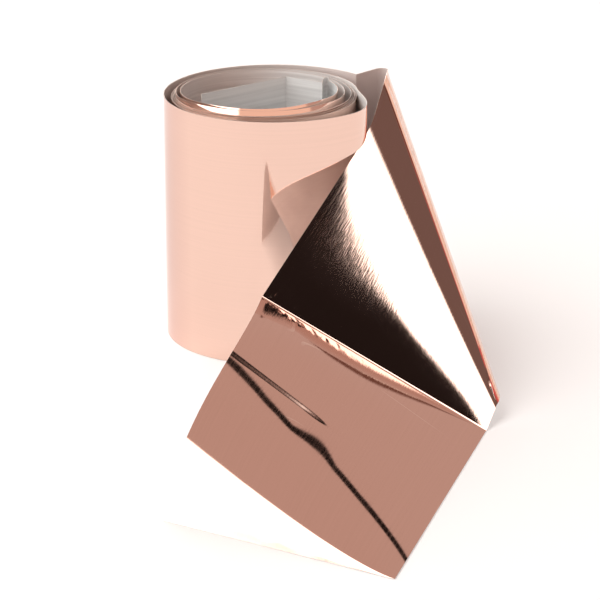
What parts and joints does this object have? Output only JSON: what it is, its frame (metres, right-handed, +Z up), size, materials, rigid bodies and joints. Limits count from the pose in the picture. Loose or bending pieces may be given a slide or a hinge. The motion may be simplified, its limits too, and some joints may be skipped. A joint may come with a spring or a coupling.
{
  "type": "copper foil tape roll",
  "caption": "Coreless roll of copper-faced foil tape standing on its edge, with silver release backing and a loose tail folded over twice.",
  "frame": {"origin": "on the axis of the coil's outer turn, in the plane that the coil stands on", "axes": "+Z up along the coil's axis; the loose tail is folded over and laid towards -Y, and leaves the coil towards +X"},
  "size_m": [0.0649, 0.144, 0.05],
  "materials": {
    "copper_foil": "mirror bright rolled copper",
    "adhesive": "clear tacky film",
    "silver_backing": "satin silver-grey film"
  },
  "bodies": {
    "outer_turn": {"outer_turn_backing": "silver_backing", "outer_turn_adhesive": "adhesive", "outer_turn_foil": "copper_foil"},
    "middle_turns": {"second_turn_backing": "silver_backing", "second_turn_adhesive": "adhesive", "second_turn_foil": "copper_foil", "third_turn_backing": "silver_backing", "third_turn_adhesive": "adhesive", "third_turn_foil": "copper_foil", "fourth_turn_backing": "silver_backing", "fourth_turn_adhesive": "adhesive", "fourth_turn_foil": "copper_foil"},
    "inner_turns": {"fifth_turn_backing": "silver_backing", "fifth_turn_adhesive": "adhesive", "fifth_turn_foil": "copper_foil", "sixth_turn_backing": "silver_backing", "sixth_turn_adhesive": "adhesive", "sixth_turn_foil": "copper_foil", "innermost_turn_backing": "silver_backing", "innermost_turn_adhesive": "adhesive", "innermost_turn_foil": "copper_foil", "inner_hook_backing": "silver_backing", "inner_hook_adhesive": "adhesive", "inner_hook_foil": "copper_foil"},
    "inner_panel": {"inner_panel_backing": "silver_backing", "inner_panel_adhesive": "adhesive", "inner_panel_foil": "copper_foil"},
    "inner_end": {"inner_end_backing": "silver_backing", "inner_end_adhesive": "adhesive", "inner_end_foil": "copper_foil"},
    "lead_out": {"lead_out_backing": "silver_backing", "lead_out_adhesive": "adhesive", "lead_out_foil": "copper_foil"},
    "fold_panel": {"fold_panel_backing": "silver_backing", "fold_panel_adhesive": "adhesive", "fold_panel_foil": "copper_foil"},
    "end_flap": {"end_flap_backing": "silver_backing", "end_flap_adhesive": "adhesive", "end_flap_foil": "copper_foil"}
  },
  "joints": [
    {"name": "lead_swing", "type": "hinge", "parent": "outer_turn", "child": "lead_out", "pos_m": [0.01685, 0.01414, 0], "axis": [0, 0, 1], "range_deg": [0, 60]},
    {"name": "diagonal_fold", "type": "hinge", "parent": "lead_out", "child": "fold_panel", "pos_m": [0.0431, -0.0492, 0.0035], "axis": [-0.2453, 0.7839, 0.5704], "range_deg": [0, 70]},
    {"name": "cross_crease", "type": "hinge", "parent": "fold_panel", "child": "end_flap", "pos_m": [0.0402, -0.057, 0.00005], "axis": [-0.8561, 0.0917, 0.5086], "range_deg": [-45, 110]},
    {"name": "middle_lift", "type": "slide", "parent": "outer_turn", "child": "middle_turns", "axis": [0, 0, 1], "range_m": [0, 0.01]},
    {"name": "inner_lift", "type": "slide", "parent": "middle_turns", "child": "inner_turns", "axis": [0, 0, 1], "range_m": [0, 0.01]},
    {"name": "inner_kink", "type": "hinge", "parent": "inner_turns", "child": "inner_panel", "pos_m": [0.0098, 0.006, 0], "axis": [0, 0, 1], "range_deg": [-3, 10]},
    {"name": "inner_crease", "type": "hinge", "parent": "inner_panel", "child": "inner_end", "pos_m": [0.0025, 0.0105, 0], "axis": [0, 0, 1], "range_deg": [-4, 15]}
  ]
}
